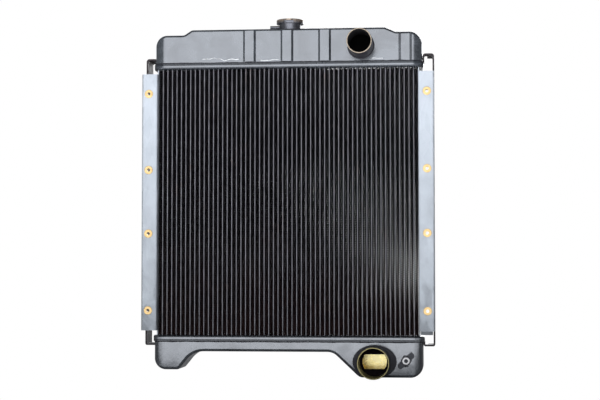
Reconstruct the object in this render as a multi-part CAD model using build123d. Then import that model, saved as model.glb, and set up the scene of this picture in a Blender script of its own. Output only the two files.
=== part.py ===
"""Copper and brass engine radiator: a serpentine-fin core between two pressed tanks.

Millimetres. +Z is up, +X is the outlet side, and the hose necks point along -Y. The origin is the centre
of the eight side-flange nuts, on the front plane of the flanges.
"""

from build123d import *
import math
import os

# ---- core ----
TUBE_PITCH = 9.525          # across the core, 3/8 inch
TUBE_COLUMNS = 55
TUBE_ROWS = 4
ROW_PITCH = 18.0
TUBE_DEPTH = 16.0
TUBE_WIDTH = 2.0
TUBE_WALL = 0.2
TUBE_CHAMFER = 0.6
TUBE_STAND = 2.0            # how far a tube stands past its header's floor
CORE_MID_Y = 50.0
FIN_DEPTH = 72.0
FIN_TOP = 268.0
FIN_STRANDS = 60
FIN_SHEET = 0.4             # measured across the column
FIN_TO_TUBE = 0.15

# ---- headers ----
HEADER_LENGTH = 555.0
HEADER_DEPTH = 92.0
HEADER_CORNER = 27.0
HEADER_Z = 271.5            # core side of the tray
HEADER_HEIGHT = 12.0
HEADER_WALL = 2.2
HEADER_EDGE = 4.0
SLOT_GAP = 0.12

# ---- tanks ----
TANK_HALF = 274.8
TANK_DEPTH = 86.8
TANK_WALL = 2.0
TANK_CORNER = 24.0          # seen from above
TANK_FOOT_Z = 275.5         # the tank's open edge, inside the tray
TANK_EDGE = 5.5
END_OVERRUN = 0.15          # the outline's ends stand past the plan form's, so the two never just touch
TANK_END = TANK_HALF + END_OVERRUN
TOP_Z = 353.5
SHOULDER_Z = 343.0
BOTTOM_MID_Z = -304.5
LEFT_LOBE_Z = -341.5
RIGHT_LOBE_Z = -355.3

RIB_X = (-77.0, 0.0, 77.0)
RIB_WIDTH = 26.0
RIB_HEIGHT = 5.0
RIB_WALL = 1.6
RIB_SLOPE = 4.0             # the sides lean in by this much
RIB_TOP_R = 3.0
RIB_LOW_Z = 286.0
RIB_HIGH_Z = 351.5

# ---- side plates, nuts and straps ----
PLATE_SHEET = 2.0
PLATE_WEB_X = 266.2
FLANGE_X = 298.5
FLANGE_HALF_Z = 262.0
WEB_HALF_Z = 271.3
WEB_BACK_Y = 86.0
LIP_DEPTH = 14.0
BEND = 4.0
END_TAB = 9.0
NUT_X = 284.0
NUT_Z = (221.5, 65.0, -65.0, -221.5)
NUT_HEAD_R = 8.5
NUT_HEAD = 1.3
NUT_SHANK_R = 5.5
NUT_BORE_R = 3.4
NUT_LENGTH = 11.0
STRAP_SHEET = 3.2
STRAP_FRONT_Y = 46.0
STRAP_BACK_Y = 102.0
RIGHT_STRAP_TOP_Z = 304.0
LEFT_STRAP_TOP_Z = 300.0
STRAP_BOTTOM_Z = -294.0
STRAP_FOOT_WIDTH = 22.0
STRAP_FOOT_GAP = 0.2

# ---- hose necks ----
NECK_WALL = 1.9
NECK_MOUTH_Y = -62.0
NECK_LIP = 0.6
NECK_STEP = 0.5
NECK_ROOT_GAP = 0.5         # from the end of the hose seat to the face behind it
INLET = (151.0, 316.0)
INLET_R = 25.4
OUTLET = (177.5, -323.0)
OUTLET_R = 31.75
PORT_R = 24.5
PORT_HEIGHT = 29.0
COLLAR_WIDTH = 88.0
COLLAR_HEIGHT = 66.5
COLLAR_DEPTH = 11.0
COLLAR_EDGE = 1.0

# ---- filler neck and pressure cap, heights from the row's origin ----
FILLER_X = 2.0
FILLER_R = 22.2
FILLER_BORE_R = 20.4
FILLER_FOOT_R = 26.0
SPIGOT_R = 17.8
SPIGOT_LOW_Z = 349.0
SEAT_Z = 358.0
SEAT_R = 16.0
RIM_R = 26.5
RIM_LOW_Z = 370.6
RIM_Z = 373.0
NOTCH_HALF_DEG = 17.0
STUB_Z = 362.2
STUB_R = 3.6
STUB_WALL = 0.9
STUB_ROOT_R = 3.3           # the slimmer end that is soldered into the neck
STUB_ROOT = 0.4
STUB_LENGTH = 19.0

CAP_R = 28.0
CAP_SHEET = 1.0
CAP_SKIRT_LOW_Z = 368.6
CAP_TOP_Z = 377.0
CAP_DOME = 1.6
TAB_HALF_DEG = 11.0
TAB_IN_R = 23.3
EAR_REACH = 32.5
EAR_WIDTH = 17.0
PIN_R = 3.0
PIN_GAP = 0.08
VALVE_R = 17.6
VALVE_Z = 359.7             # underside of the valve plate
VALVE_SHEET = 1.0
SPRING_R = 11.5
SPRING_WIRE_R = 0.9
SPRING_TURNS = 3.0
CUP_R = 16.5
CUP_TOP_Z = 373.2
CUP_LOW_Z = 366.5
VACUUM_R = 7.0
VACUUM_STEM_R = 2.4
VACUUM_HEAD_Z = 364.2
VACUUM_SPRING_R = 3.6
VACUUM_WIRE_R = 0.35

# ---- drain cock ----
DRAIN = (241.0, -320.0)
BUNG_R = 11.0
BUNG_FACE_Y = 1.5
BODY_R = 8.0
BODY_FACE_Y = -10.0
BODY_THREAD_R = 6.5
STEM_R = 4.0
STEM_GAP = 0.08
SPOUT_R = 3.5
SPOUT_LENGTH = 13.0
HANDLE_FACE_Y = -22.0
HANDLE_BACK_Y = -15.5
HANDLE_TURN_DEG = 42.0
WING_SPAN = 41.0
WING_WIDTH = 11.5
WING_SHEET = 4.0
HUB_R = 7.6
HUB_HOLE_R = 4.0
HUB_HOLE_DEPTH = 4.5

TANK_FRONT_Y = CORE_MID_Y - TANK_DEPTH / 2
CORE_MIDDLE = (0, CORE_MID_Y)


# ---- shared helpers ----
def block(x, y, z):
    """A box from (low, high) pairs."""
    size = (x[1] - x[0], y[1] - y[0], z[1] - z[0])
    return Pos((x[0] + x[1]) / 2, (y[0] + y[1]) / 2, (z[0] + z[1]) / 2) * Box(*size)


def rod_y(centre, radius, y_low, y_high):
    """A cylinder along Y through centre = (x, z)."""
    middle = (y_low + y_high) / 2
    return Pos(centre[0], middle, centre[1]) * Rot(90, 0, 0) * Cylinder(radius, y_high - y_low)


def rod_z(centre, radius, z_low, z_high):
    """A cylinder along Z through centre = (x, y)."""
    return Pos(centre[0], centre[1], (z_low + z_high) / 2) * Cylinder(radius, z_high - z_low)


def rounded_slab(length, depth, corner, z_low, z_high):
    """A plan rectangle with round corners over the core's middle, from z_low to z_high."""
    plan = Pos(CORE_MIDDLE[0], CORE_MIDDLE[1], z_low) * RectangleRounded(length, depth, corner)
    return extrude(plan, amount=z_high - z_low, dir=(0, 0, 1))


def outline_face(corners, y):
    """A face in an XZ plane from (x, z, radius) corners; a radius of 0 leaves the corner sharp."""
    points = [Vector(x, y, z) for x, z, _ in corners]
    count = len(corners)
    starts, middles, ends = [], [], []
    for i, (_, _, radius) in enumerate(corners):
        back = (points[i - 1] - points[i]).normalized()
        ahead = (points[(i + 1) % count] - points[i]).normalized()
        half = math.radians(back.get_angle(ahead)) / 2
        tangent = radius / math.tan(half)
        bisector = (back + ahead).normalized()
        starts.append(points[i] + back * tangent)
        middles.append(points[i] + bisector * (radius / math.sin(half) - radius))
        ends.append(points[i] + ahead * tangent)
    edges = []
    for i, (_, _, radius) in enumerate(corners):
        if radius > 0:
            edges.append(ThreePointArc(starts[i], middles[i], ends[i]))
        edges.append(Line(ends[i], starts[(i + 1) % count]))
    return Face(Wire(edges))


def inset(corners, wall):
    """The same outline moved inwards by wall, with each corner's radius kept concentric."""
    count = len(corners)
    area = sum(
        corners[i - 1][0] * corners[i][1] - corners[i][0] * corners[i - 1][1] for i in range(count)
    )
    turn = math.copysign(1, area)
    moved = []
    for i, (x, z, radius) in enumerate(corners):
        before, after = corners[i - 1], corners[(i + 1) % count]
        into = Vector(x - before[0], z - before[1]).normalized()
        out = Vector(after[0] - x, after[1] - z).normalized()
        normal_in = Vector(-into.Y, into.X) * turn
        normal_out = Vector(-out.Y, out.X) * turn
        step = (normal_in + normal_out) * (wall / (1 + normal_in.dot(normal_out)))
        convex = (into.X * out.Y - into.Y * out.X) * turn > 0
        grown = radius - wall if convex else radius + wall
        moved.append((x + step.X, z + step.Y, grown if radius > 0 else 0))
    return moved


def ring_profile(points, centre):
    """Revolves (radius, z) points about the vertical axis through centre = (x, y)."""
    corners = [(centre[0] + r, centre[1], z) for r, z in points]
    face = Face(Wire(Polyline(*corners, close=True).edges()))
    return revolve(face, axis=Axis((centre[0], centre[1], 0), (0, 0, 1)))


def coil(centre, radius, wire_r, z_low, z_high, turns):
    """A round-wire compression spring between two planes."""
    rise = z_high - z_low - 2 * wire_r
    path = Pos(centre[0], centre[1], z_low + wire_r) * Helix(rise / turns, rise, radius)
    section = Plane(path @ 0, z_dir=path % 0) * Circle(wire_r)
    return sweep(section, path=path, is_frenet=True)


def save(node, solids):
    """Writes one node's solids, as one part or as a group of separate ones."""
    parts = list(solids) if isinstance(solids, (list, tuple)) else list(solids.solids())
    shape = parts[0] if len(parts) == 1 else Compound(children=parts)
    export_step(shape, f"parts/{node}.step")


# ---- core ----
def tube_outline(grow):
    """Half the flat tube's section: a thin slot with chamfered noses, grown all round."""
    half_w = TUBE_WIDTH / 2 + grow
    half_d = TUBE_DEPTH / 2 + grow
    cut = TUBE_CHAMFER
    return [
        (half_w, half_d - cut), (half_w - cut, half_d), (cut - half_w, half_d), (-half_w, half_d - cut),
        (-half_w, cut - half_d), (cut - half_w, -half_d), (half_w - cut, -half_d), (half_w, cut - half_d),
    ]


def tube_prism(x, y, z_low, z_high, grow):
    """A solid prism of the tube's section between two heights."""
    corners = [(x + dx, y + dy, z_low) for dx, dy in tube_outline(grow)]
    face = Face(Wire(Polyline(*corners, close=True).edges()))
    return extrude(face, amount=z_high - z_low, dir=(0, 0, 1))


def column_x():
    """The tubes' places across the core."""
    return [(i - (TUBE_COLUMNS - 1) / 2) * TUBE_PITCH for i in range(TUBE_COLUMNS)]


def row_y():
    """The tube rows' places, front to back."""
    return [CORE_MID_Y + (i - (TUBE_ROWS - 1) / 2) * ROW_PITCH for i in range(TUBE_ROWS)]


def tube_row(y):
    """One row of hollow tubes that stand through both headers."""
    end = HEADER_Z + HEADER_WALL + TUBE_STAND
    tube = tube_prism(0, y, -end, end, 0) - tube_prism(0, y, -end - 1, end + 1, -TUBE_WALL)
    return [Pos(x, 0, 0) * tube.solid() for x in column_x()]


def fin_strip():
    """One column of folded fin, centred on x = 0."""
    half = (TUBE_PITCH - TUBE_WIDTH) / 2 - FIN_TO_TUBE
    swing = half - FIN_SHEET / 2
    rise = 2 * FIN_TOP / FIN_STRANDS
    front = CORE_MID_Y - FIN_DEPTH / 2
    folds = [(swing * (-1) ** i, -FIN_TOP + rise * i) for i in range(FIN_STRANDS + 1)]
    left = [(x - FIN_SHEET / 2, front, z) for x, z in folds]
    right = [(x + FIN_SHEET / 2, front, z) for x, z in reversed(folds)]
    face = Face(Wire(Polyline(*left, *right, close=True).edges()))
    return extrude(face, amount=FIN_DEPTH, dir=(0, 1, 0))


def fins():
    """A column of fin beside every tube, and one outside each end tube."""
    strip = fin_strip().solid()
    return [Pos((i - TUBE_COLUMNS / 2) * TUBE_PITCH, 0, 0) * strip for i in range(TUBE_COLUMNS + 1)]


def header():
    """The top tray: floor with a slot for each tube, and a round-edged rim around the tank's foot."""
    top = HEADER_Z + HEADER_HEIGHT
    tray = rounded_slab(HEADER_LENGTH, HEADER_DEPTH, HEADER_CORNER, HEADER_Z, top)
    tray = fillet(tray.edges().group_by(Axis.Z)[0], HEADER_EDGE)
    wall = 2 * HEADER_WALL
    floor_z = HEADER_Z + HEADER_WALL
    pocket = rounded_slab(
        HEADER_LENGTH - wall, HEADER_DEPTH - wall, HEADER_CORNER - HEADER_WALL, floor_z, top + 1
    )
    slot = tube_prism(0, 0, HEADER_Z - 1, floor_z + 1, SLOT_GAP).solid()
    slots = [Pos(x, y, 0) * slot for y in row_y() for x in column_x()]
    return (tray - pocket).cut(*slots)


# ---- tanks ----
def top_outline():
    """The top tank from the front: two low shoulders and a raised middle."""
    return [
        (-TANK_END, TANK_FOOT_Z, 0), (-TANK_END, SHOULDER_Z, 27), (-213, SHOULDER_Z, 12),
        (-197, TOP_Z, 12), (199, TOP_Z, 12), (221, SHOULDER_Z + 1, 12),
        (TANK_END, SHOULDER_Z + 1, 27), (TANK_END, TANK_FOOT_Z, 0),
    ]


def bottom_outline():
    """The bottom tank from the front: shallow in the middle, with a lobe at each end."""
    return [
        (-TANK_END, -TANK_FOOT_Z, 0), (TANK_END, -TANK_FOOT_Z, 0), (TANK_END, RIGHT_LOBE_Z, 26),
        (147, RIGHT_LOBE_Z, 18), (93, BOTTOM_MID_Z, 28), (-192, BOTTOM_MID_Z, 45),
        (-222, LEFT_LOBE_Z, 8), (-TANK_END, LEFT_LOBE_Z, 27),
    ]


def tank_block(corners, wall):
    """The tank's form between its front and back, wall mm inside the outer skin."""
    half = TANK_HALF - wall
    depth = TANK_DEPTH - 2 * wall
    face = outline_face(corners, CORE_MID_Y - depth / 2)
    form = extrude(face, amount=depth, dir=(0, 1, 0))
    reach = 400
    return form & rounded_slab(2 * half, depth, TANK_CORNER - wall, -reach, reach)


def open_inside(corners):
    """The hollow: the outline moved in by the wall, and carried out through the open edge."""
    hollow = inset(corners, TANK_WALL)
    away = math.copysign(TANK_FOOT_Z - TANK_WALL, corners[0][1])
    return [(x, away if abs(z) < TANK_FOOT_Z + 2 * TANK_WALL else z, r) for x, z, r in hollow]


def soften(form):
    """Rounds the skin's edges, apart from those at the open edge and the upright plan corners."""
    keep = [
        edge for edge in form.edges()
        if abs(edge.center().Z) > TANK_FOOT_Z + 0.1 and abs((edge % 0.5).Z) < 0.999
        and not (abs((edge % 0.5).Y) > 0.999)
    ]
    return fillet(keep, TANK_EDGE)


def filler_hole():
    """The hole in the top tank for the filler neck's spigot."""
    return rod_z((FILLER_X, CORE_MID_Y), SPIGOT_R + 0.15, TOP_Z - 10, TOP_Z + 10)


def top_tank():
    """Pressed tank over the core, with the inlet and filler holes."""
    skin = soften(tank_block(top_outline(), 0))
    tank = skin - tank_block(open_inside(top_outline()), TANK_WALL)
    inlet_hole = rod_y(INLET, INLET_R - NECK_STEP + 0.15, TANK_FRONT_Y - 10, TANK_FRONT_Y + 20)
    return tank - inlet_hole - filler_hole()


def bottom_tank():
    """Pressed tank under the core, with the outlet port and the drain hole."""
    skin = soften(tank_block(bottom_outline(), 0))
    tank = skin - tank_block(open_inside(bottom_outline()), TANK_WALL)
    port = rod_y(OUTLET, PORT_R, TANK_FRONT_Y - 5, TANK_FRONT_Y + 5)
    low = OUTLET[1] - PORT_HEIGHT / 2
    band_y = (TANK_FRONT_Y - 9, TANK_FRONT_Y + 9)
    band = block((OUTLET[0] - 50, OUTLET[0] + 50), band_y, (low, low + PORT_HEIGHT))
    drain_hole = rod_y(DRAIN, BODY_THREAD_R + 0.5, TANK_FRONT_Y - 5, TANK_FRONT_Y + 5)
    return tank - (port & band) - drain_hole


def tank_rib(x):
    """A channel-section rib up the front of the top tank, open at its foot."""
    half = RIB_WIDTH / 2
    face_y = TANK_FRONT_Y - RIB_HEIGHT
    rib = block((x - half, x + half), (face_y, TANK_FRONT_Y - 0.1), (RIB_LOW_Z, RIB_HIGH_Z))
    front = rib.edges().group_by(Axis.Y)[0]
    rib = chamfer(front.filter_by(Axis.Z), RIB_SLOPE)
    rib = fillet(rib.edges().group_by(Axis.Y)[0].filter_by(Axis.X).sort_by(Axis.Z)[-1], RIB_TOP_R)
    inner = half - RIB_SLOPE
    hollow = block(
        (x - inner, x + inner), (face_y + RIB_WALL, TANK_FRONT_Y + 1), (RIB_LOW_Z - 1, RIB_HIGH_Z - RIB_WALL)
    )
    return rib - hollow


# ---- side plates, nuts and straps ----
def plate_section():
    """The right plate from above: web beside the core, flange across the front, lip turned back."""
    sheet = PLATE_SHEET
    return [
        (PLATE_WEB_X, WEB_BACK_Y, 0), (PLATE_WEB_X, 0, BEND - 1), (FLANGE_X, 0, BEND),
        (FLANGE_X, LIP_DEPTH, 0), (FLANGE_X - sheet, LIP_DEPTH, 0), (FLANGE_X - sheet, sheet, BEND - sheet),
        (PLATE_WEB_X + sheet, sheet, BEND - 1 - sheet), (PLATE_WEB_X + sheet, WEB_BACK_Y, 0),
    ]


def side_plate():
    """The right side plate with its four nut holes."""
    upright = Rot(90, 0, 0) * outline_face(plate_section(), 0)
    section = mirror(upright, about=Plane.XZ) if upright.center().Y < 0 else upright
    plate = extrude(Pos(0, 0, -FLANGE_HALF_Z) * section, amount=2 * FLANGE_HALF_Z, dir=(0, 0, 1))
    web_x = (PLATE_WEB_X, PLATE_WEB_X + PLATE_SHEET)
    plate = plate + block(web_x, (LIP_DEPTH, WEB_BACK_Y), (-WEB_HALF_Z, WEB_HALF_Z))
    for z in NUT_Z:
        plate = plate - rod_y((NUT_X, z), NUT_SHANK_R + 0.1, -1, PLATE_SHEET + 1)
    return plate


def end_tab():
    """The narrow folded end that only the right plate has, slanting down and back."""
    tab = Pos(0, PLATE_SHEET / 2, -END_TAB / 2) * Box(FLANGE_X - PLATE_WEB_X - BEND - 4, PLATE_SHEET, END_TAB)
    return Pos((FLANGE_X + PLATE_WEB_X) / 2, 0, 0.4 - FLANGE_HALF_Z) * Rot(30, 0, 0) * tab


def clinch_nuts():
    """Four M8 nuts pressed into the right flange: a round head in front, the thread behind."""
    nuts = []
    for z in NUT_Z:
        head = rod_y((NUT_X, z), NUT_HEAD_R, -NUT_HEAD, -0.02)
        head = fillet(head.edges().group_by(Axis.Y)[0], 0.6)
        nut = head + rod_y((NUT_X, z), NUT_SHANK_R, -0.5, NUT_LENGTH)
        bore = rod_y((NUT_X, z), NUT_BORE_R, -NUT_HEAD - 1, NUT_LENGTH + 1)
        nuts.append((nut - bore).solid())
    return nuts


def tie_strap(top_z):
    """A right-hand strap: an upright flat bar with an arm and a soldered foot at each tank."""
    foot_x = TANK_HALF + STRAP_FOOT_GAP
    sheet = STRAP_SHEET
    foot_top = HEADER_Z + HEADER_HEIGHT + 1
    corners = [
        (FLANGE_X, top_z, 6), (foot_x, top_z, 6), (foot_x, foot_top, 0),
        (foot_x + sheet, foot_top, 0), (foot_x + sheet, top_z - sheet, 6 - sheet),
        (FLANGE_X - sheet, top_z - sheet, 6 - sheet),
        (FLANGE_X - sheet, STRAP_BOTTOM_Z + sheet, 4 - sheet),
        (foot_x + sheet, STRAP_BOTTOM_Z + sheet, 4 - sheet), (foot_x + sheet, -foot_top, 0),
        (foot_x, -foot_top, 0), (foot_x, STRAP_BOTTOM_Z, 4), (FLANGE_X, STRAP_BOTTOM_Z, 4),
    ]
    depth = STRAP_BACK_Y - STRAP_FRONT_Y
    strap = extrude(outline_face(corners, STRAP_FRONT_Y), amount=depth, dir=(0, 1, 0))
    foot_back = STRAP_FRONT_Y + STRAP_FOOT_WIDTH
    clear = sheet + 6
    notches = [
        block((foot_x - 1, foot_x + clear), (foot_back, STRAP_BACK_Y + 1), (z - 40, z + 40))
        for z in (top_z, STRAP_BOTTOM_Z)
    ]
    return strap - notches[0] - notches[1]


# ---- hose necks ----
def neck_tube(centre, radius, root_y, y_back):
    """A hose neck with its mouth's edge eased, and a slightly slimmer root that is soldered in."""
    tube = rod_y(centre, radius, NECK_MOUTH_Y, root_y)
    tube = fillet(tube.edges().group_by(Axis.Y)[0], NECK_LIP)
    tube = tube + rod_y(centre, radius - NECK_STEP, root_y - 1, y_back)
    return tube - rod_y(centre, radius - NECK_WALL, NECK_MOUTH_Y - 1, y_back + 1)


def outlet_collar():
    """The oval collar that ties the round outlet neck to the tank's front."""
    oval = Plane(origin=(OUTLET[0], TANK_FRONT_Y - 0.1, OUTLET[1]), x_dir=(1, 0, 0), z_dir=(0, -1, 0))
    form = extrude(oval * Ellipse(COLLAR_WIDTH / 2, COLLAR_HEIGHT / 2), amount=COLLAR_DEPTH)
    form = fillet(form.edges().group_by(Axis.Y)[0], COLLAR_EDGE)
    bore = OUTLET_R - NECK_STEP + 0.1
    return form - rod_y(OUTLET, bore, TANK_FRONT_Y - COLLAR_DEPTH - 5, TANK_FRONT_Y + 1)


# ---- filler neck and cap ----
FILLER = (FILLER_X, CORE_MID_Y)


def cap_wedge(inner, outer, half_deg, z_low, z_high):
    """Two opposite ring sectors about the filler axis, pointing along X."""
    ring = rod_z(FILLER, outer, z_low, z_high) - rod_z(FILLER, inner, z_low - 1, z_high + 1)
    reach = 2 * outer
    spread = reach * math.tan(math.radians(half_deg))
    x, y = FILLER
    bow = [(x, y), (x + reach, y + spread), (x + reach, y - spread)]
    side = extrude(Pos(0, 0, z_low - 1) * make_face(Polyline(*bow, close=True)), amount=z_high - z_low + 2)
    other = Pos(x, y, 0) * Rot(0, 0, 180) * Pos(-x, -y, 0) * side
    return (ring & side) + (ring & other)


def filler_neck():
    """Stepped neck: foot on the tank, valve seat inside, and a notched rim for the cap's tabs."""
    foot = TOP_Z + 0.1
    points = [
        (SEAT_R, SPIGOT_LOW_Z), (SPIGOT_R, SPIGOT_LOW_Z), (SPIGOT_R, foot), (FILLER_FOOT_R, foot),
        (FILLER_FOOT_R - 0.5, foot + 1.2), (FILLER_R + 0.8, foot + 1.8), (FILLER_R, foot + 3),
        (FILLER_R, RIM_LOW_Z), (RIM_R, RIM_LOW_Z), (RIM_R, RIM_Z - 0.6), (RIM_R - 0.6, RIM_Z),
        (FILLER_BORE_R, RIM_Z), (FILLER_BORE_R, SEAT_Z), (SEAT_R, SEAT_Z),
    ]
    neck = ring_profile(points, FILLER)
    notches = cap_wedge(FILLER_R + 0.3, RIM_R + 2, NOTCH_HALF_DEG, RIM_LOW_Z - 0.5, RIM_Z + 1)
    face_x = FILLER_X - FILLER_R
    stub_hole = stub_rod(STUB_ROOT_R + 0.1, face_x - 4, face_x + 4)
    return neck - notches - stub_hole


def stub_rod(radius, x_low, x_high):
    """A cylinder along X on the overflow stub's axis."""
    return Pos((x_low + x_high) / 2, CORE_MID_Y, STUB_Z) * Rot(0, 90, 0) * Cylinder(radius, x_high - x_low)


def overflow_stub():
    """The small side pipe that carries off what passes the pressure valve."""
    face_x = FILLER_X - FILLER_R
    mouth_x = face_x - STUB_LENGTH
    seat_x = face_x - NECK_ROOT_GAP
    pipe = stub_rod(STUB_R, mouth_x, seat_x) + stub_rod(STUB_ROOT_R, seat_x - 1, face_x + STUB_ROOT)
    return pipe - stub_rod(STUB_R - STUB_WALL, mouth_x - 1, face_x + 1)


def cap_shell():
    """The turning outer shell: shallow domed lid, skirt, two ears and two tabs."""
    inner = CAP_R - CAP_SHEET
    hole = PIN_R + PIN_GAP
    top = CAP_TOP_Z
    points = [
        (inner, CAP_SKIRT_LOW_Z), (CAP_R, CAP_SKIRT_LOW_Z), (CAP_R, top - 1.5), (CAP_R - 0.5, top - 0.5),
        (CAP_R - 1.5, top), (17, top), (12, top + CAP_DOME), (hole, top + CAP_DOME),
        (hole, top + CAP_DOME - CAP_SHEET), (11.6, top + CAP_DOME - CAP_SHEET), (16.6, top - CAP_SHEET),
        (inner - 1, top - CAP_SHEET), (inner, top - 2),
    ]
    shell = ring_profile(points, FILLER)
    tabs = cap_wedge(TAB_IN_R, inner + 0.5, TAB_HALF_DEG, CAP_SKIRT_LOW_Z, CAP_SKIRT_LOW_Z + CAP_SHEET)
    half = EAR_WIDTH / 2
    ears = block(
        (FILLER_X - half, FILLER_X + half), (CORE_MID_Y - EAR_REACH, CORE_MID_Y + EAR_REACH),
        (top - 3.6, top - 1.2)
    )
    ears = fillet(ears.edges().filter_by(Axis.Z), half * 0.7)
    ears = ears - rod_z(FILLER, inner + 0.3, top - 5, top + 2)
    return shell + tabs + ears


def cap_rivet():
    """The fixed pin through the cap: head above the shell, shoulder and peened foot below."""
    lid = CAP_TOP_Z + CAP_DOME
    shoulder = PIN_R + 2.5
    foot = CUP_TOP_Z - 1.1
    points = [
        (0, CUP_TOP_Z - 2.0), (shoulder, CUP_TOP_Z - 2.0), (shoulder, foot), (PIN_R, foot),
        (PIN_R, 374.2), (shoulder, 374.2), (shoulder, lid - CAP_SHEET - 0.3), (PIN_R, lid - CAP_SHEET - 0.3),
        (PIN_R, lid + 0.3), (shoulder + 1.0, lid + 0.3), (shoulder + 0.4, lid + 1.1), (0, lid + 1.5),
    ]
    return ring_profile(points, FILLER)


def cap_diaphragm():
    """Springy disc that closes on the neck's rim."""
    low = RIM_Z + 0.35
    points = [(PIN_R + 0.1, low), (25.4, low), (25.4, low + 0.5), (PIN_R + 0.1, low + 0.5)]
    return ring_profile(points, FILLER)


def spring_cup():
    """Inverted cup under the diaphragm that holds the pressure spring."""
    wall = 0.8
    hole = PIN_R + 0.1
    top = CUP_TOP_Z
    points = [
        (hole, top), (CUP_R - 1, top), (CUP_R, top - 1), (CUP_R, CUP_LOW_Z), (CUP_R - wall, CUP_LOW_Z),
        (CUP_R - wall, top - wall), (hole, top - wall),
    ]
    return ring_profile(points, FILLER)


def valve_plate():
    """The pressure valve's plate, with a low collar that centres the spring."""
    top = VALVE_Z + VALVE_SHEET
    hole = VACUUM_STEM_R + PIN_GAP
    points = [
        (hole, VALVE_Z), (VALVE_R, VALVE_Z), (VALVE_R, top), (SPRING_R - 1.4, top),
        (SPRING_R - 1.4, top + 1.6), (SPRING_R - 2.2, top + 1.6), (SPRING_R - 2.2, top), (hole, top),
    ]
    return ring_profile(points, FILLER)


def valve_seal():
    """Rubber ring under the valve plate, on the neck's seat."""
    low = SEAT_Z + 0.3
    points = [(13.5, low), (VALVE_R - 0.2, low), (VALVE_R - 0.2, VALVE_Z - 0.05), (13.5, VALVE_Z - 0.05)]
    return ring_profile(points, FILLER)


def vacuum_valve():
    """The small valve that opens inwards: disc below the plate, stem through it, head above."""
    low = VALVE_Z - 1.2
    head = VACUUM_HEAD_Z
    points = [
        (0, low), (VACUUM_R, low), (VACUUM_R, VALVE_Z - 0.3), (VACUUM_STEM_R, VALVE_Z - 0.3),
        (VACUUM_STEM_R, head), (4.6, head), (4.6, head + 0.8), (0, head + 0.8),
    ]
    return ring_profile(points, FILLER)


# ---- drain cock ----
def drain_bung():
    """Six-sided bung soldered to the tank's front, bored for the cock."""
    face = Plane(origin=(DRAIN[0], TANK_FRONT_Y - 0.1, DRAIN[1]), x_dir=(1, 0, 0), z_dir=(0, -1, 0))
    bung = extrude(face * RegularPolygon(BUNG_R, 6), amount=TANK_FRONT_Y - 0.1 - BUNG_FACE_Y)
    return bung - rod_y(DRAIN, BODY_THREAD_R + 0.15, BUNG_FACE_Y - 1, TANK_FRONT_Y + 1)


def drain_body():
    """The cock's body: thread into the bung, round barrel, and a spout that points down."""
    x, z = DRAIN
    body = rod_y(DRAIN, BODY_THREAD_R, BUNG_FACE_Y - 0.5, TANK_FRONT_Y + 4)
    body = body + rod_y(DRAIN, BODY_R, BODY_FACE_Y, BUNG_FACE_Y - 0.1)
    spout_y = (BODY_FACE_Y + BUNG_FACE_Y) / 2 + 1
    spout_at = Pos(x, spout_y, z - SPOUT_LENGTH / 2)
    body = body + spout_at * Cylinder(SPOUT_R, SPOUT_LENGTH)
    body = body - rod_y(DRAIN, STEM_R + STEM_GAP, BODY_FACE_Y - 1, TANK_FRONT_Y - 1)
    body = body - rod_y(DRAIN, 2.2, TANK_FRONT_Y - 2, TANK_FRONT_Y + 6)
    return body - spout_at * Cylinder(SPOUT_R - 1.3, SPOUT_LENGTH + 0.5)


def drain_seal():
    """Rubber washer that the stem's tip presses on the body's seat."""
    front = TANK_FRONT_Y - 2.9
    washer = rod_y(DRAIN, STEM_R - 0.4, front, TANK_FRONT_Y - 1.3)
    return washer


def drain_stem():
    """The screwed stem with its wing handle, which has a round hub with a blind hole."""
    x, z = DRAIN
    stem = rod_y(DRAIN, STEM_R, HANDLE_BACK_Y - 2, TANK_FRONT_Y - 3.2)
    hub = rod_y(DRAIN, HUB_R, HANDLE_FACE_Y, HANDLE_BACK_Y + 1.5)
    hub = fillet(hub.edges().group_by(Axis.Y)[0], 1.0)
    face = Plane(origin=(x, HANDLE_BACK_Y, z), x_dir=(1, 0, 0), z_dir=(0, -1, 0))
    wings = extrude(face * SlotOverall(WING_SPAN, WING_WIDTH), amount=WING_SHEET)
    wings = fillet(wings.edges().group_by(Axis.Y)[0], 1.0)
    hole = rod_y(DRAIN, HUB_HOLE_R, HANDLE_FACE_Y - 1, HANDLE_FACE_Y + HUB_HOLE_DEPTH)
    handle = stem + hub + wings - hole
    return Pos(x, 0, z) * Rot(0, -HANDLE_TURN_DEG, 0) * Pos(-x, 0, -z) * handle


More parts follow.
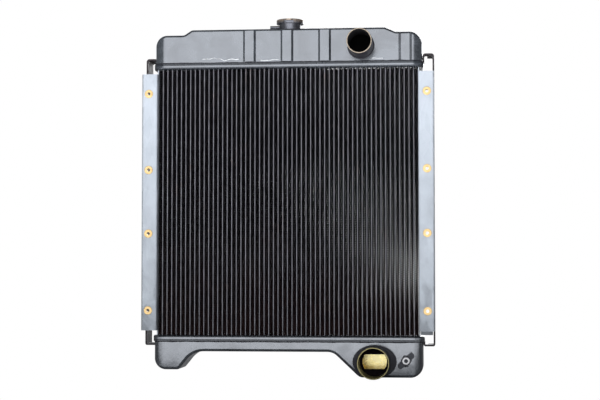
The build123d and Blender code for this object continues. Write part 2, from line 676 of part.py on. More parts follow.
# ---- the parts ----
def main():
    os.makedirs("parts", exist_ok=True)
    left = Plane.YZ
    below = Plane.XY

    save("top_tank", top_tank())
    save("bottom_tank", bottom_tank())
    for side, x in zip(("left", "centre", "right"), RIB_X):
        save(f"tank_rib_{side}", tank_rib(x))

    tray = header()
    save("top_header", tray)
    save("bottom_header", mirror(tray, about=below))
    for number, y in enumerate(row_y(), start=1):
        save(f"tube_row_{number}", tube_row(y))
    save("core_fins", fins())

    plate = side_plate()
    save("right_side_plate", plate + end_tab())
    save("left_side_plate", mirror(plate, about=left))
    nuts = clinch_nuts()
    save("right_clinch_nuts", nuts)
    save("left_clinch_nuts", [mirror(nut, about=left) for nut in nuts])
    save("right_tie_strap", tie_strap(RIGHT_STRAP_TOP_Z))
    save("left_tie_strap", mirror(tie_strap(LEFT_STRAP_TOP_Z), about=left))

    inlet_root = TANK_FRONT_Y - NECK_ROOT_GAP
    outlet_root = TANK_FRONT_Y - COLLAR_DEPTH - NECK_ROOT_GAP
    save("inlet_neck", neck_tube(INLET, INLET_R, inlet_root, TANK_FRONT_Y + TANK_WALL + 2))
    save("outlet_neck", neck_tube(OUTLET, OUTLET_R, outlet_root, TANK_FRONT_Y - 0.2))
    save("outlet_collar", outlet_collar())

    save("filler_neck", filler_neck())
    save("overflow_stub", overflow_stub())
    save("cap_shell", cap_shell())
    save("cap_rivet", cap_rivet())
    save("cap_diaphragm", cap_diaphragm())
    save("spring_cup", spring_cup())
    spring_foot = VALVE_Z + VALVE_SHEET + 0.1
    spring_head = CUP_TOP_Z - 0.9
    save("pressure_spring", coil(FILLER, SPRING_R, SPRING_WIRE_R, spring_foot, spring_head, SPRING_TURNS))
    save("pressure_valve_plate", valve_plate())
    save("pressure_valve_seal", valve_seal())
    save("vacuum_valve", vacuum_valve())
    save("vacuum_spring", coil(FILLER, VACUUM_SPRING_R, VACUUM_WIRE_R, spring_foot, VACUUM_HEAD_Z - 0.1, 3))

    save("drain_bung", drain_bung())
    save("drain_body", drain_body())
    save("drain_seal", drain_seal())
    save("drain_stem", drain_stem())


main()
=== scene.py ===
"""Looks of a car radiator with soldered tanks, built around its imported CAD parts."""

import math

import bmesh
import bpy
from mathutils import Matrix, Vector, noise
from mathutils.bvhtree import BVHTree


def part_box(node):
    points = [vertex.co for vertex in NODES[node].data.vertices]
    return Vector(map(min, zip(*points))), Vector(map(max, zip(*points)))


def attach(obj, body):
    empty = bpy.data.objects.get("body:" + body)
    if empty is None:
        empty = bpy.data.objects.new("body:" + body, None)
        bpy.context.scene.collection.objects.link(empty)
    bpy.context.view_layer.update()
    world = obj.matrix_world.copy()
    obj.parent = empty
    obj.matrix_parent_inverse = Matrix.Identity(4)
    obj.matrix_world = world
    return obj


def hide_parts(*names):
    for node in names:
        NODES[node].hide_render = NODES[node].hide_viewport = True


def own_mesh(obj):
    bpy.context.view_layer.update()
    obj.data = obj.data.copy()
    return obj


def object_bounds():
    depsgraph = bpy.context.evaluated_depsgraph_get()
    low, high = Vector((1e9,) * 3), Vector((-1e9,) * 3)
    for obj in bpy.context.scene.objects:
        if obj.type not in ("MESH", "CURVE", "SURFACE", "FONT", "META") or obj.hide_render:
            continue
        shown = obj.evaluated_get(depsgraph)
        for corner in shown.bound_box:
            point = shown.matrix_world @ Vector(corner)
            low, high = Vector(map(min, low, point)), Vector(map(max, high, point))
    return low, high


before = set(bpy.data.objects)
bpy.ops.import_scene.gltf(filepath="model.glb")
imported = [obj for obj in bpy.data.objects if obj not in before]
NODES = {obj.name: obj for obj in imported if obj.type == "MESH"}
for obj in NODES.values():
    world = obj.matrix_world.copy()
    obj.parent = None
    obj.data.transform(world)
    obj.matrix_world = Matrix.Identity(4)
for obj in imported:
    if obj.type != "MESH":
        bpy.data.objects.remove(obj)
CAD_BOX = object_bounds()
MM = 0.001


def settle(node, **sockets):
    """Sets a node's input sockets, an underscore standing for a space."""
    for socket, value in sockets.items():
        node.inputs[socket.replace("_", " ")].default_value = value
    return node


def place_in_scene(name, data):
    """A new object of this data, linked to the scene."""
    made = bpy.data.objects.new(name, data)
    bpy.context.scene.collection.objects.link(made)
    return made


# ---- node trees ----
class Finish:
    """One procedural finish: a Principled shader and the nodes that feed it."""

    def __init__(self, name, **sockets):
        self.material = bpy.data.materials.new(name)
        self.material.use_nodes = True
        self.tree = self.material.node_tree
        self.tree.nodes.clear()
        self.shader = self.add("ShaderNodeBsdfPrincipled")
        output = self.add("ShaderNodeOutputMaterial")
        self.link(self.shader.outputs["BSDF"], output.inputs["Surface"])
        settle(self.shader, **sockets)
        self.place = self.add("ShaderNodeTexCoord").outputs["Object"]

    def add(self, kind, **settings):
        made = self.tree.nodes.new(kind)
        for key, value in settings.items():
            setattr(made, key, value)
        return made

    def link(self, start, end):
        self.tree.links.new(start, end)

    def stretched(self, scale):
        mapping = self.add("ShaderNodeMapping")
        mapping.inputs["Scale"].default_value = scale
        self.link(self.place, mapping.inputs["Vector"])
        return mapping.outputs["Vector"]

    def axis(self, letter):
        """One coordinate of the place in the object."""
        parts = self.add("ShaderNodeSeparateXYZ")
        self.link(self.place, parts.inputs["Vector"])
        return parts.outputs[letter]

    def share(self, value, low, high):
        """0 where value is low and 1 where it is high, clamped."""
        made = settle(self.add("ShaderNodeMapRange"), From_Min=low, From_Max=high)
        self.link(value, made.inputs["Value"])
        return made.outputs["Result"]

    def noise(self, scale, detail=4.0, rough=0.55, warp=0.0, place=None):
        made = self.add("ShaderNodeTexNoise")
        settle(made, Scale=scale, Detail=detail, Roughness=rough, Distortion=warp)
        self.link(place or self.place, made.inputs["Vector"])
        return made.outputs["Fac"]

    def cells(self, scale, place=None):
        made = self.add("ShaderNodeTexVoronoi")
        made.inputs["Scale"].default_value = scale
        self.link(place or self.place, made.inputs["Vector"])
        grey = self.add("ShaderNodeSeparateColor")
        self.link(made.outputs["Color"], grey.inputs["Color"])
        return grey.outputs["Red"]

    def ramp(self, value, *stops):
        made = self.add("ShaderNodeValToRGB")
        slots = made.color_ramp.elements
        for slot, (at, _) in zip(slots, (stops[0], stops[-1])):
            slot.position = at
        for at, _ in stops[1:-1]:
            slots.new(at)
        for slot, (_, colour) in zip(slots, stops):
            slot.color = (*(colour if isinstance(colour, tuple) else 3 * (colour,)), 1.0)
        self.link(value, made.inputs["Fac"])
        return made.outputs["Color"]

    def mix(self, share, first, second):
        made = self.add("ShaderNodeMix", data_type="RGBA")
        for socket, value in zip(("Factor", "A", "B"), (share, first, second)):
            kind = "VALUE" if socket == "Factor" else "RGBA"
            end = next(i for i in made.inputs if i.name == socket and i.type == kind)
            if isinstance(value, bpy.types.NodeSocket):
                self.link(value, end)
            else:
                end.default_value = value if socket == "Factor" else (*value, 1.0)
        return next(o for o in made.outputs if o.type == "RGBA")

    def times(self, first, second):
        made = self.add("ShaderNodeMath", operation="MULTIPLY")
        self.link(first, made.inputs[0])
        if isinstance(second, bpy.types.NodeSocket):
            self.link(second, made.inputs[1])
        else:
            made.inputs[1].default_value = second
        return made.outputs["Value"]

    def edges(self, radius):
        """1 along sharp edges and 0 on flats."""
        bevel = self.add("ShaderNodeBevel", samples=4)
        bevel.inputs["Radius"].default_value = radius
        normal = self.add("ShaderNodeNewGeometry")
        dot = self.add("ShaderNodeVectorMath", operation="DOT_PRODUCT")
        self.link(bevel.outputs["Normal"], dot.inputs[0])
        self.link(normal.outputs["Normal"], dot.inputs[1])
        return self.ramp(dot.outputs["Value"], (0.82, 1.0), (0.985, 0.0))

    def colour(self, value):
        self.link(value, self.shader.inputs["Base Color"])

    def rough(self, value, low, high):
        self.link(self.ramp(value, (0.3, low), (0.7, high)), self.shader.inputs["Roughness"])

    def bumps(self, *layers):
        """Each layer is (height, strength, distance in metres), coarse first."""
        last = None
        for height, strength, distance in layers:
            made = settle(self.add("ShaderNodeBump"), Strength=strength, Distance=distance)
            self.link(height, made.inputs["Height"])
            if last is not None:
                self.link(last, made.inputs["Normal"])
            last = made.outputs["Normal"]
        self.link(last, self.shader.inputs["Normal"])


def gloss_paint(name, dark, light, worn, low, high, orange=0.12, dents=0.35,
                shape=None, matt=None):
    """Sprayed gloss paint: mottled, with orange peel, shallow dents and edges worn to the metal."""
    made = Finish(name, IOR=2.0, Coat_Weight=0.45, Coat_Roughness=0.12, Coat_IOR=1.6)
    mottle = made.noise(20, 6, 0.62, 0.8)
    base = made.ramp(mottle, (0.36, dark), (0.62, light))
    specks = made.ramp(made.noise(900, 2, 0.5), (0.66, 0.0), (0.74, 0.35))
    dusty = made.mix(specks, base, tuple(2.2 * c for c in light))
    wear = made.times(made.edges(0.8 * MM),
                      made.ramp(made.noise(120, 5, 0.7), (0.56, 0.0), (0.7, 0.6)))
    made.colour(made.mix(wear, dusty, worn))
    made.rough(made.noise(42, 4, 0.6), low, high)
    if matt:
        matt(made)
    pressed = [(shape(made), 1.0, 0.0035)] if shape else []
    made.bumps(
        *pressed,
        (made.noise(9, 2, 0.4, 0.8), dents, 0.004),
        (made.noise(75, 2, 0.5), 0.25, 0.0008),
        (made.noise(650, 2, 0.5), orange, 0.0001),
    )
    return made


CREASES = (229.7 * MM, 252.0 * MM)     # two soft creases down the top tank's right end
CREASE_HALF = 5.0 * MM


def creases(made):
    """Height of the shallow panel between the two creases, 0 in it and 1 beside it."""
    low = CREASES[0] - 2 * CREASE_HALF
    span = CREASES[1] + 2 * CREASE_HALF - low
    share = made.share(made.axis("X"), low, low + span)
    near, far = ((crease - low) / span for crease in CREASES)
    half = CREASE_HALF / span / 2
    return made.ramp(share, (near - half, 1.0), (near + half, 0.0),
                     (far - half, 0.0), (far + half, 1.0))


def rolled(made):
    """Height of the header's rolled rim: high in its middle, falling away to both edges."""
    low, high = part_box("top_header")
    either = made.add("ShaderNodeMath", operation="ABSOLUTE")
    made.link(made.axis("Z"), either.inputs[0])
    share = made.share(either.outputs["Value"], low.z, high.z)
    return made.ramp(share, (0.0, 0.0), (0.36, 1.0), (0.66, 1.0), (1.0, 0.0))


def paint_outlet_shade(made):
    """Paints shade on the tank's front inside the outlet neck: a matt near-black disc where shade
    falls, in place of the gloss paint.
    """
    low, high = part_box("outlet_neck")
    middle, radius = (low + high) / 2, (high.x - low.x) / 2
    away = made.add("ShaderNodeVectorMath", operation="DISTANCE")
    flat = made.add("ShaderNodeVectorMath", operation="MULTIPLY")
    flat.inputs[1].default_value = (1, 0, 1)
    made.link(made.place, flat.inputs[0])
    made.link(flat.outputs["Vector"], away.inputs[0])
    away.inputs[1].default_value = (middle.x, 0, middle.z)
    edge = made.share(away.outputs["Value"], radius, radius - 0.5 * MM)
    front_only = made.add("ShaderNodeMath", operation="LESS_THAN")
    front_only.inputs[1].default_value = high.y + 4 * MM
    made.link(made.axis("Y"), front_only.inputs[0])
    # Painted shade: this mask marks the disc inside the outlet neck that is coloured near-black and
    # matt.
    shade_share = made.times(edge, front_only.outputs["Value"])
    shade_black = made.ramp(made.noise(130, 3, 0.6),
                     (0.3, (0.004, 0.003, 0.004)), (0.7, (0.012, 0.009, 0.010)))
    base = made.shader.inputs["Base Color"]
    made.colour(made.mix(shade_share, base.links[0].from_socket, shade_black))
    gloss = made.shader.inputs["Roughness"]
    made.link(made.mix(shade_share, gloss.links[0].from_socket, (0.9, 0.9, 0.9)), gloss)
    clear = made.ramp(shade_share, (0.0, 1.0), (1.0, 0.0))
    made.link(made.times(clear, 0.5), made.shader.inputs["Specular IOR Level"])
    made.link(made.times(clear, 0.45), made.shader.inputs["Coat Weight"])


def matt_black(name, dark, light, sheen=0.4):
    """Thin matt paint over brass: black, uneven, and a little rubbed on its edges; also used as
    painted shade.
    """
    made = Finish(name, IOR=1.4)
    cloud = made.noise(60, 4, 0.6, 0.4)
    base = made.ramp(cloud, (0.35, dark), (0.68, light))
    wear = made.times(made.edges(0.6 * MM),
                      made.ramp(made.noise(160, 4, 0.7), (0.5, 0.0), (0.7, 0.5)))
    made.colour(made.mix(wear, base, (0.12, 0.10, 0.08)))
    made.rough(cloud, sheen, sheen + 0.25)
    made.bumps((made.noise(90, 3, 0.6), 0.3, 0.0006), (made.noise(800, 2, 0.5), 0.2, 0.0001))
    return made


def bare_metal(name, dark, light, metallic, low, high, grain=(1, 1, 1), scale=60,
               wear_to=None):
    """Metal with a tarnish pattern, fine tool or rolling marks and rubbed edges."""
    made = Finish(name, Metallic=metallic)
    place = made.stretched(grain)
    tarnish = made.noise(scale, 5, 0.6, 0.4)
    marks = made.noise(scale * 9, 3, 0.6, place=place)
    base = made.mix(made.ramp(marks, (0.3, 0.0), (0.75, 0.35)),
                    made.ramp(tarnish, (0.32, dark), (0.68, light)), dark)
    rubbed = wear_to or tuple(min(1.0, 1.35 * c) for c in light)
    made.colour(made.mix(made.times(made.edges(0.6 * MM), 0.6), base, rubbed))
    made.rough(tarnish, low, high)
    made.bumps((tarnish, 0.15, 0.0006), (marks, 0.25, 0.00012))
    return made


def zinc_sheet():
    """Galvanised sheet: crystal spangle in large flat cells, with faint creases."""
    made = Finish("zinc_sheet", Metallic=0.35)
    spangle = made.cells(70, made.stretched((1.0, 1.0, 0.45)))
    cloud = made.noise(14, 4, 0.6, 0.5)
    plate_grey = made.mix(0.4,
                     made.ramp(spangle, (0.1, (0.32, 0.34, 0.355)), (0.9, (0.46, 0.48, 0.50))),
                     made.ramp(cloud, (0.3, (0.30, 0.32, 0.335)), (0.7, (0.48, 0.50, 0.52))))
    # Darker grey in streaks towards the bottom of the plate.
    low_down = made.share(made.axis("Z"), 0.16, -0.26)
    streak = made.ramp(made.noise(18, 5, 0.6, 1.2), (0.3, 0.35), (0.7, 1.0))
    base = made.mix(made.times(low_down, streak), plate_grey, (0.19, 0.20, 0.205))
    stain = made.ramp(made.noise(55, 5, 0.7), (0.62, 0.0), (0.75, 0.5))
    made.colour(made.mix(stain, base, (0.17, 0.18, 0.18)))
    made.rough(spangle, 0.38, 0.6)
    made.bumps((cloud, 0.35, 0.003), (spangle, 0.12, 0.0003),
               (made.noise(900, 2, 0.5), 0.1, 0.0001))
    return made


def fin_copper():
    """Copper fin under a thin black spray, with more copper showing low in the core."""
    made = Finish("fin_copper", IOR=1.45)
    low_down = made.share(made.axis("Z"), 0.1, -0.26)
    patches = made.times(made.noise(22, 4, 0.65, 0.6), low_down)
    thin = made.ramp(patches, (0.2, 0.0), (0.6, 0.8))
    spray = made.ramp(made.noise(300, 3, 0.6),
                      (0.35, (0.010, 0.008, 0.012)), (0.7, (0.028, 0.020, 0.028)))
    made.colour(made.mix(thin, spray, (0.085, 0.030, 0.024)))
    made.rough(made.noise(150, 3, 0.6), 0.45, 0.7)
    made.bumps((made.noise(500, 3, 0.6), 0.3, 0.0002))
    return made


def tube_brass():
    """Brass tube under a thin spray that is rubbed along the nose."""
    made = Finish("tube_brass", IOR=1.6, Metallic=0.25)
    along = made.stretched((1.0, 1.0, 0.12))
    streak = made.noise(260, 4, 0.7, place=along)
    patch = made.noise(34, 4, 0.6, 0.6)
    base = made.ramp(streak, (0.32, (0.055, 0.053, 0.058)), (0.66, (0.19, 0.18, 0.19)))
    made.colour(made.mix(made.ramp(patch, (0.6, 0.0), (0.78, 0.5)), base, (0.22, 0.15, 0.11)))
    made.rough(streak, 0.28, 0.5)
    made.bumps((streak, 0.12, 0.0001))
    return made


def solder():
    """Dull tin-lead solder: lumpy, grey, with brighter drawn patches."""
    made = Finish("solder", Metallic=0.75)
    lumps = made.noise(180, 4, 0.6, 0.5)
    base = made.ramp(lumps, (0.32, (0.34, 0.34, 0.33)), (0.7, (0.72, 0.72, 0.70)))
    flux = made.ramp(made.noise(60, 5, 0.7), (0.58, 0.0), (0.7, 0.7))
    made.colour(made.mix(flux, base, (0.16, 0.13, 0.09)))
    made.rough(lumps, 0.22, 0.5)
    made.bumps((made.noise(110, 3, 0.6, 0.5), 0.5, 0.0012), (lumps, 0.3, 0.0004))
    return made


def rubber():
    """Matt moulded rubber."""
    made = Finish("rubber", IOR=1.5)
    grain = made.noise(700, 3, 0.6)
    made.colour(made.ramp(grain, (0.3, (0.012, 0.012, 0.012)), (0.7, (0.03, 0.03, 0.03))))
    made.rough(grain, 0.6, 0.8)
    made.bumps((grain, 0.3, 0.0001))
    return made


PAINT_DARK = (0.014, 0.016, 0.019)
PAINT_LIGHT = (0.052, 0.058, 0.063)
PAINT_WORN = (0.26, 0.22, 0.15)
FINISHES = {
    "tank_paint": gloss_paint("tank_paint", PAINT_DARK, PAINT_LIGHT, PAINT_WORN, 0.14, 0.26),
    "neck_paint": matt_black("neck_paint", (0.008, 0.007, 0.010), (0.020, 0.018, 0.023)),
    "header_paint": gloss_paint(
        "header_paint", (0.012, 0.014, 0.017), (0.040, 0.045, 0.052), (0.30, 0.29, 0.27),
        0.16, 0.34, 0.2, 0.9, rolled),
    "strap_paint": matt_black("strap_paint", (0.016, 0.010, 0.011), (0.034, 0.024, 0.025), 0.5),
    "side_plate_zinc": zinc_sheet(),
    "nut_zinc": bare_metal("nut_zinc", (0.42, 0.27, 0.10), (0.72, 0.50, 0.22), 0.6, 0.28,
                           0.45, scale=160),
    "cap_metal": bare_metal("cap_metal", (0.20, 0.15, 0.11), (0.40, 0.31, 0.23), 0.6,
                            0.26, 0.45, (1, 1, 8), 90),
    "valve_brass": bare_metal("valve_brass", (0.48, 0.34, 0.13), (0.76, 0.58, 0.27), 0.9,
                              0.22, 0.38, scale=120),
    "spring_steel": bare_metal("spring_steel", (0.42, 0.42, 0.42), (0.66, 0.66, 0.67),
                               0.95, 0.2, 0.35, scale=200),
    "cock_metal": bare_metal("cock_metal", (0.05, 0.05, 0.055), (0.13, 0.13, 0.14), 0.4,
                             0.3, 0.5, scale=110,
                             wear_to=(0.42, 0.41, 0.40)),
    "fin_copper": fin_copper(),
    "tube_brass": tube_brass(),
    "seal_rubber": rubber(),
}
CREASED_PAINT = gloss_paint("creased_paint", PAINT_DARK, PAINT_LIGHT, PAINT_WORN, 0.14,
                            0.26, shape=creases)
# Tank paint with painted shade: matt near-black on the front inside the outlet neck.
OUTLET_SHADE_PAINT = gloss_paint("outlet_shade_paint", PAINT_DARK, PAINT_LIGHT, PAINT_WORN, 0.14, 0.26,
                          matt=paint_outlet_shade)
INSIDE_BRASS = bare_metal("inside_brass", (0.74, 0.60, 0.24), (0.95, 0.84, 0.46), 0.95,
                          0.2, 0.34, scale=40)
OLIVE_BRASS = bare_metal("olive_brass", (0.20, 0.17, 0.06), (0.40, 0.34, 0.15), 0.5, 0.35,
                         0.55, scale=50)
RIM_BRASS = bare_metal("rim_brass", (0.20, 0.15, 0.10), (0.46, 0.38, 0.28), 0.2, 0.5, 0.7,
                       scale=150)
STEM_DARK = matt_black("stem_dark", (0.020, 0.020, 0.024), (0.06, 0.06, 0.066))
# Painted shade: near-black matt for the inside of the top tank and the bore of the inlet neck,
# where shade falls.
SHADE_INSIDE = matt_black("painted_shade_inside", (0.004, 0.003, 0.004), (0.010, 0.008, 0.009), 0.7)
SKIRT_STEEL = bare_metal("skirt_steel", (0.09, 0.09, 0.10), (0.22, 0.22, 0.23), 0.8, 0.25,
                         0.42, (1, 1, 6), 80)
HUB_STEEL = bare_metal("hub_steel", (0.42, 0.40, 0.38), (0.72, 0.70, 0.68), 0.5, 0.3, 0.5,
                       scale=140)
SOLDER = solder()

SLOT_NODES = {
    "tank_paint": ("tank_rib_left", "tank_rib_centre", "tank_rib_right"),
    "header_paint": ("top_header", "bottom_header"),
    "tube_brass": tuple(f"tube_row_{i}" for i in (1, 2, 3, 4)),
    "side_plate_zinc": ("left_side_plate", "right_side_plate"),
    "nut_zinc": ("left_clinch_nuts", "right_clinch_nuts"),
    "strap_paint": ("left_tie_strap", "right_tie_strap"),
    "neck_paint": ("outlet_collar", "drain_bung"),
    "cap_metal": ("cap_rivet",),
    "valve_brass": ("spring_cup", "pressure_valve_plate", "vacuum_valve", "cap_diaphragm"),
    "spring_steel": ("pressure_spring", "vacuum_spring"),
    "seal_rubber": ("pressure_valve_seal", "drain_seal"),
    "cock_metal": ("drain_body",),
}


def dress(obj, *finishes):
    obj.data.materials.clear()
    for finish in finishes:
        obj.data.materials.append(finish.material)


for slot_name, names in SLOT_NODES.items():
    for name in names:
        dress(NODES[name], FINISHES[slot_name])
for name in ("filler_neck", "overflow_stub"):
    dress(NODES[name], SKIRT_STEEL)


# ---- CAD shapes that wear more than one finish ----
AXES = [Vector(v) for v in
        ((1, 0, 0), (-1, 0, 0), (0, 1, 0), (0, -1, 0), (0, 0, 1), (0, 0, -1))]
UP, DOWN = 4, 5              # places in AXES


def recoat(node, piece, body, finishes, choose):
    """A copy of a CAD shape that stands for it; choose gives each face's place in finishes."""
    made = place_in_scene(piece, NODES[node].data.copy())
    dress(made, *finishes)
    tree = BVHTree.FromObject(made, bpy.context.evaluated_depsgraph_get())
    for face in made.data.polygons:
        face.material_index = choose(tree, face)
    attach(made, body)
    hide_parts(node)
    return made


def in_tank(closed_end):
    """A test for faces inside a tank: its wall is met sideways, in depth and at its closed end."""
    def choose(tree, face):
        off = face.center + face.normal * 0.0004
        met = [tree.ray_cast(off, way)[0] is not None for way in AXES]
        return int(met[0] and met[1] and (met[2] or met[3]) and met[closed_end])
    return choose


def neck_faces(node):
    """Outside 0, bore 1, and the rim's edge at the mouth 2."""
    low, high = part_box(node)
    middle, radius = (low + high) / 2, (high.x - low.x) / 2

    def choose(_, face):
        away = math.hypot(face.center.x - middle.x, face.center.z - middle.z)
        if face.center.y < low.y + 0.12 * MM:
            return 2
        return int(away < radius - 1.2 * MM and abs(face.normal.y) < 0.5)
    return choose


CAP_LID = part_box("cap_shell")[1].z - 5.4 * MM
STEM_LOW, STEM_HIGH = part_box("drain_stem")
STEM_MIDDLE = (STEM_LOW + STEM_HIGH) / 2


def cap_faces(_, face):
    """Lid 0, and the skirt and underside 1."""
    return int(face.center.z < CAP_LID)


def stem_faces(_, face):
    """Dark wings and stem 0, bright front of the hub 1."""
    away = math.hypot(face.center.x - STEM_MIDDLE.x, face.center.z - STEM_MIDDLE.z)
    return int(away < 8.0 * MM and face.center.y < STEM_LOW.y + 1.2 * MM and face.normal.y < -0.3)


recoat("top_tank", "top_tank_shell", "radiator",
       (CREASED_PAINT, SHADE_INSIDE), in_tank(UP))
recoat("bottom_tank", "bottom_tank_shell", "radiator",
       (OUTLET_SHADE_PAINT, INSIDE_BRASS), in_tank(DOWN))
recoat("inlet_neck", "inlet_neck_shell", "radiator",
       (FINISHES["neck_paint"], SHADE_INSIDE, RIM_BRASS), neck_faces("inlet_neck"))
recoat("outlet_neck", "outlet_neck_shell", "radiator",
       (FINISHES["neck_paint"], OLIVE_BRASS, OLIVE_BRASS), neck_faces("outlet_neck"))
recoat("cap_shell", "cap_lid", "cap_shell",
       (FINISHES["cap_metal"], SKIRT_STEEL), cap_faces)
recoat("drain_stem", "drain_wing", "drain_stem",
       (STEM_DARK, HUB_STEEL), stem_faces)


def squeezed_spring(node, piece, body):
    """A copy of a cap spring with a mesh of its own, which moves with its body."""
    made = place_in_scene(piece, NODES[node].data.copy())
    dress(made, FINISHES["spring_steel"])
    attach(made, body)
    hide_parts(node)
    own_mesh(made)


squeezed_spring("pressure_spring", "pressure_coil", "cap_core")
squeezed_spring("vacuum_spring", "vacuum_coil", "pressure_valve")


# ---- core fins ----
FIN_PITCH = 3.6 * MM
FIN_SHEET = 0.22 * MM
FIN_LEAN = 1.9 * MM          # how far the folds rise to mid-depth and fall again
FIN_COLUMNS = 56
TUBE_THICK = 2 * MM


def fin_core():
    """Folded fins in every column between the tubes, leaning through the depth as louvres do."""
    low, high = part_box("core_fins")
    tubes_low, tubes_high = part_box("tube_row_1")
    pitch = (tubes_high.x - tubes_low.x - TUBE_THICK) / (FIN_COLUMNS - 2)
    reach = (pitch - TUBE_THICK) / 2 - 0.2 * MM
    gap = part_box("top_header")[0].z - high.z - 0.3 * MM
    top, bottom = high.z + gap - FIN_LEAN, low.z - gap
    folds = round((top - bottom) / (FIN_PITCH / 2))
    rise = (top - bottom) / folds
    depths = (low.y, (low.y + high.y) / 2, high.y)
    verts, faces = [], []
    for column in range(FIN_COLUMNS):
        x = (column - (FIN_COLUMNS - 1) / 2) * pitch
        base = len(verts)
        for i in range(folds + 1):
            side = x + (reach - FIN_SHEET / 2) * (-1) ** i
            for lean, y in zip((0, FIN_LEAN, 0), depths):
                for half in (-FIN_SHEET / 2, FIN_SHEET / 2):
                    verts.append((side + half, y, bottom + rise * i + lean))
        for i in range(folds):
            a, b = base + 6 * i, base + 6 * (i + 1)
            faces += [(a, a + 1, b + 1, b), (a + 4, b + 4, b + 5, a + 5)]
            for k in (0, 2):
                faces.append((a + k, b + k, b + k + 2, a + k + 2))
                faces.append((a + k + 1, a + k + 3, b + k + 3, b + k + 1))
        last = base + 6 * folds
        for start, flip in ((base, False), (last, True)):
            for k in (0, 2):
                ring = (start + k, start + k + 2, start + k + 3, start + k + 1)
                faces.append(ring[::-1] if flip else ring)
    mesh = bpy.data.meshes.new("fin_pack")
    mesh.from_pydata(verts, [], faces)
    made = place_in_scene("fin_pack", mesh)
    dress(made, FINISHES["fin_copper"])
    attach(made, "radiator")
    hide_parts("core_fins")


fin_core()


# ---- solder ----
def bead(name, path, radius, seed, closed, wander=0.5, squat=0.8, finish=None):
    """An uneven bead of solder along path, a list of points."""
    around, count = 8, len(path)
    mesh = bmesh.new()
    rings = []
    for i, point in enumerate(path):
        before = path[i - 1] if closed or i else path[0]
        after = path[(i + 1) % count] if closed or i < count - 1 else path[-1]
        ahead = (after - before).normalized()
        side = ahead.cross(Vector((0, 1, 0.3))).normalized()
        up = side.cross(ahead)
        lump = 1 + wander * noise.noise(point * 55 + Vector((seed, 0, 0)))
        lump += 0.3 * noise.noise(point * 190)
        size = radius * max(0.35, lump)
        if not closed and i in (0, count - 1):
            size *= 0.2
        ring = []
        for k in range(around):
            turn = 2 * math.pi * k / around
            off = side * size * math.cos(turn) + up * size * squat * math.sin(turn)
            ring.append(mesh.verts.new(point + off))
        rings.append(ring)
    for i in range(count if closed else count - 1):
        ring, following = rings[i], rings[(i + 1) % count]
        for k in range(around):
            j = (k + 1) % around
            mesh.faces.new((ring[k], ring[j], following[j], following[k]))
    if not closed:
        mesh.faces.new(rings[0][::-1])
        mesh.faces.new(rings[-1])
    bmesh.ops.recalc_face_normals(mesh, faces=mesh.faces)
    data = bpy.data.meshes.new(name)
    mesh.to_mesh(data)
    mesh.free()
    for face in data.polygons:
        face.use_smooth = True
    made = place_in_scene(name, data)
    dress(made, finish or SOLDER)
    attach(made, "radiator")


def circle_xz(x, y, z, radius, count=72):
    """Points round an axis along Y."""
    turns = [2 * math.pi * i / count for i in range(count)]
    return [Vector((x + radius * math.cos(t), y, z + radius * math.sin(t))) for t in turns]


def circle_xy(x, y, z, radius, count=60):
    """Points round an upright axis."""
    turns = [2 * math.pi * i / count for i in range(count)]
    return [Vector((x + radius * math.cos(t), y + radius * math.sin(t), z)) for t in turns]


def seam_path(low, high, corner, z, step=0.004):
    """A plan rectangle with round corners at height z, as evenly spaced points."""
    points = []
    centres = [(high.x - corner, low.y + corner, -90), (high.x - corner, high.y - corner, 0),
               (low.x + corner, high.y - corner, 90), (low.x + corner, low.y + corner, 180)]
    steps = 8
    for x, y, start in centres:
        for i in range(steps + 1):
            turn = math.radians(start + 90 * i / steps)
            points.append(Vector((x + corner * math.cos(turn), y + corner * math.sin(turn), z)))
    spaced = []
    for a, b in zip(points, points[1:] + points[:1]):
        parts = max(1, round((b - a).length / step))
        spaced += [a.lerp(b, k / parts) for k in range(parts)]
    return spaced


SEAM_BEAD = 2.0 * MM
TANK_CORNER = 24 * MM
for node, header, sign in (("top_tank", "top_header", 1), ("bottom_tank", "bottom_header", -1)):
    tank_low, tank_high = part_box(node)
    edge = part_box(header)[1].z if sign > 0 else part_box(header)[0].z
    seam = seam_path(tank_low, tank_high, TANK_CORNER, edge + sign * 0.3 * MM)
    # Partly painted shade: the seam beads wear matt black paint, which also paints the dark shade
    # line along each tank's seam.
    bead(f"{node}_seam_solder", seam, SEAM_BEAD, 3.0 * sign, True, 0.35,
         finish=FINISHES["neck_paint"])

inlet_low, inlet_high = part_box("inlet_neck")
inlet_mid = (inlet_low + inlet_high) / 2
outlet_low, outlet_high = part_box("outlet_neck")
outlet_mid = (outlet_low + outlet_high) / 2
TANK_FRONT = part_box("top_tank")[0].y
bead("inlet_solder", circle_xz(inlet_mid.x, TANK_FRONT + 0.2 * MM, inlet_mid.z, 26.4 * MM),
     1.5 * MM, 11.0, True, 0.5, finish=FINISHES["neck_paint"])
collar_low, collar_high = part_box("outlet_collar")
bead("outlet_solder", circle_xz(outlet_mid.x, collar_low.y + 0.1 * MM, outlet_mid.z, 32.0 * MM),
     1.1 * MM, 17.0, True, 0.5, finish=FINISHES["neck_paint"])


def run_of_solder(name, x_low, x_high, y, z, sway, radius, seed):
    """A wavering run of solder along the tank's front, just above its seam."""
    count = round((x_high - x_low) / (2 * MM))
    path = []
    for i in range(count + 1):
        x = x_low + (x_high - x_low) * i / count
        drift = noise.noise(Vector((x * 28, seed, 0)))
        drift += 0.4 * noise.noise(Vector((x * 90, seed, 4)))
        path.append(Vector((x, y, z + sway * drift)))
    bead(name, path, radius, seed, False, 0.9, 0.45)


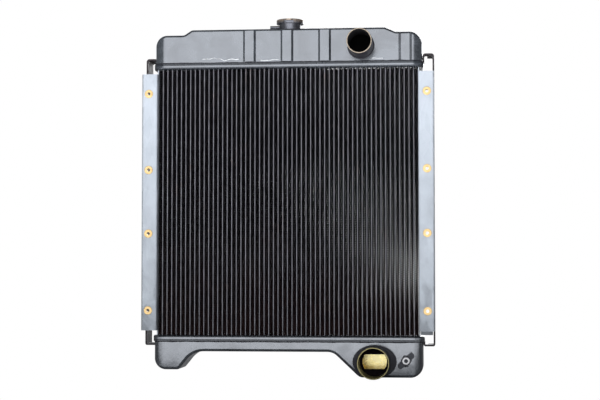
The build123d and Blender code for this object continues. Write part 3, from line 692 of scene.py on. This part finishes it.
SEAM_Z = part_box("top_header")[1].z
run_of_solder("top_solder_run_left", -0.176, -0.098, TANK_FRONT, SEAM_Z + 9 * MM,
              8 * MM, 1.0 * MM, 5.0)
run_of_solder("inlet_solder_run", 0.172, 0.196, TANK_FRONT, SEAM_Z + 7 * MM,
              5 * MM, 1.1 * MM, 13.0)
run_of_solder("top_solder_run_middle", -0.056, -0.016, TANK_FRONT, SEAM_Z + 5 * MM,
              2.5 * MM, 0.8 * MM, 8.0)
filler_low, filler_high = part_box("filler_neck")
filler_mid = (filler_low + filler_high) / 2
TANK_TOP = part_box("top_tank")[1].z
bead("filler_solder", circle_xy(filler_mid.x, filler_mid.y, TANK_TOP + 0.3 * MM, 26.2 * MM),
     1.1 * MM, 23.0, True, 0.6)


# ---- studio ----
FRONT_LIGHT = 3.0            # strength of the bright side that the paint mirrors
LIGHT_TINT = (0.94, 0.985, 1.07, 1.0)
FLOOR_HALF = 12


def floor():
    """A floor that is white to the camera, and lights the part from in front."""
    mesh = bpy.data.meshes.new("floor")
    corners = ((-1, -1), (1, -1), (1, 1), (-1, 1))
    mesh.from_pydata([(FLOOR_HALF * x, FLOOR_HALF * y, 0) for x, y in corners], [], [(0, 1, 2, 3)])
    made = place_in_scene("floor", mesh)
    made.location.z = CAD_BOX[0].z - 0.5 * MM
    pale = Finish("pale_floor", Roughness=0.8)
    pale.colour(pale.ramp(pale.noise(3, 2), (0.3, (0.30, 0.30, 0.30)), (0.7, (0.34, 0.34, 0.34))))
    ahead = pale.add("ShaderNodeMapRange", interpolation_type="SMOOTHSTEP")
    settle(ahead, From_Min=-0.2, From_Max=-0.65, To_Min=0.0, To_Max=FRONT_LIGHT)
    pale.link(pale.axis("Y"), ahead.inputs["Value"])
    lit = settle(pale.add("ShaderNodeEmission"), Color=LIGHT_TINT)
    pale.link(ahead.outputs["Result"], lit.inputs["Strength"])
    both = pale.add("ShaderNodeAddShader")
    pale.link(pale.shader.outputs["BSDF"], both.inputs[0])
    pale.link(lit.outputs["Emission"], both.inputs[1])
    seen = pale.add("ShaderNodeEmission")
    path = pale.add("ShaderNodeLightPath")
    share = pale.add("ShaderNodeMixShader")
    pale.link(path.outputs["Is Camera Ray"], share.inputs["Fac"])
    pale.link(both.outputs["Shader"], share.inputs[1])
    pale.link(seen.outputs["Emission"], share.inputs[2])
    output = next(n for n in pale.tree.nodes if n.type == "OUTPUT_MATERIAL")
    pale.link(share.outputs["Shader"], output.inputs["Surface"])
    mesh.materials.append(pale.material)


def studio():
    """A world that is white to the camera, and bright in front and behind for the part."""
    world = bpy.data.worlds.new("studio")
    bpy.context.scene.world = world
    world.use_nodes = True
    tree = world.node_tree
    tree.nodes.clear()
    toward = tree.nodes.new("ShaderNodeTexCoord")
    parts = tree.nodes.new("ShaderNodeSeparateXYZ")
    tree.links.new(toward.outputs["Generated"], parts.inputs["Vector"])
    total = tree.nodes.new("ShaderNodeMath")
    sides = ((-0.76, -0.92, 0.12, FRONT_LIGHT), (0.7, 0.9, 0.0, 1.0))
    for place, (start, end, low, high) in enumerate(sides):
        side = tree.nodes.new("ShaderNodeMapRange")
        side.interpolation_type = "SMOOTHSTEP"
        settle(side, From_Min=start, From_Max=end, To_Min=low, To_Max=high)
        tree.links.new(parts.outputs["Y"], side.inputs["Value"])
        tree.links.new(side.outputs["Result"], total.inputs[place])
    lit = settle(tree.nodes.new("ShaderNodeBackground"), Color=LIGHT_TINT)
    tree.links.new(total.outputs["Value"], lit.inputs["Strength"])
    white = settle(tree.nodes.new("ShaderNodeBackground"), Color=(1, 1, 1, 1))
    rays = tree.nodes.new("ShaderNodeLightPath")
    mixed = tree.nodes.new("ShaderNodeMixShader")
    tree.links.new(rays.outputs["Is Camera Ray"], mixed.inputs["Fac"])
    tree.links.new(lit.outputs["Background"], mixed.inputs[1])
    tree.links.new(white.outputs["Background"], mixed.inputs[2])
    out = tree.nodes.new("ShaderNodeOutputWorld")
    tree.links.new(mixed.outputs["Shader"], out.inputs["Surface"])


def aim_at(made, place, target):
    made.location = place
    made.rotation_mode = "QUATERNION"
    made.rotation_quaternion = (target - place).to_track_quat("-Z", "Y")


def soft_light(name, place, target, size, power):
    lamp = bpy.data.lights.new(name, "AREA")
    lamp.shape = "RECTANGLE"
    lamp.size, lamp.size_y = size
    lamp.energy = power
    made = place_in_scene(name, lamp)
    aim_at(made, Vector(place), Vector(target))


def camera():
    data = bpy.data.cameras.new("camera")
    data.lens, data.sensor_width = 89.0, 36.0
    data.clip_end = 60
    made = place_in_scene("camera", data)
    aim_at(made, Vector((0.320, -2.985, -0.138)), Vector((0.026, 0.014, 0.003)))
    bpy.context.scene.camera = made


floor()
studio()
soft_light("back", (0.6, 2.8, 0.9), (0, 0, 0), (1.8, 1.8), 40)
camera()
bpy.context.scene.view_settings.view_transform = "Standard"
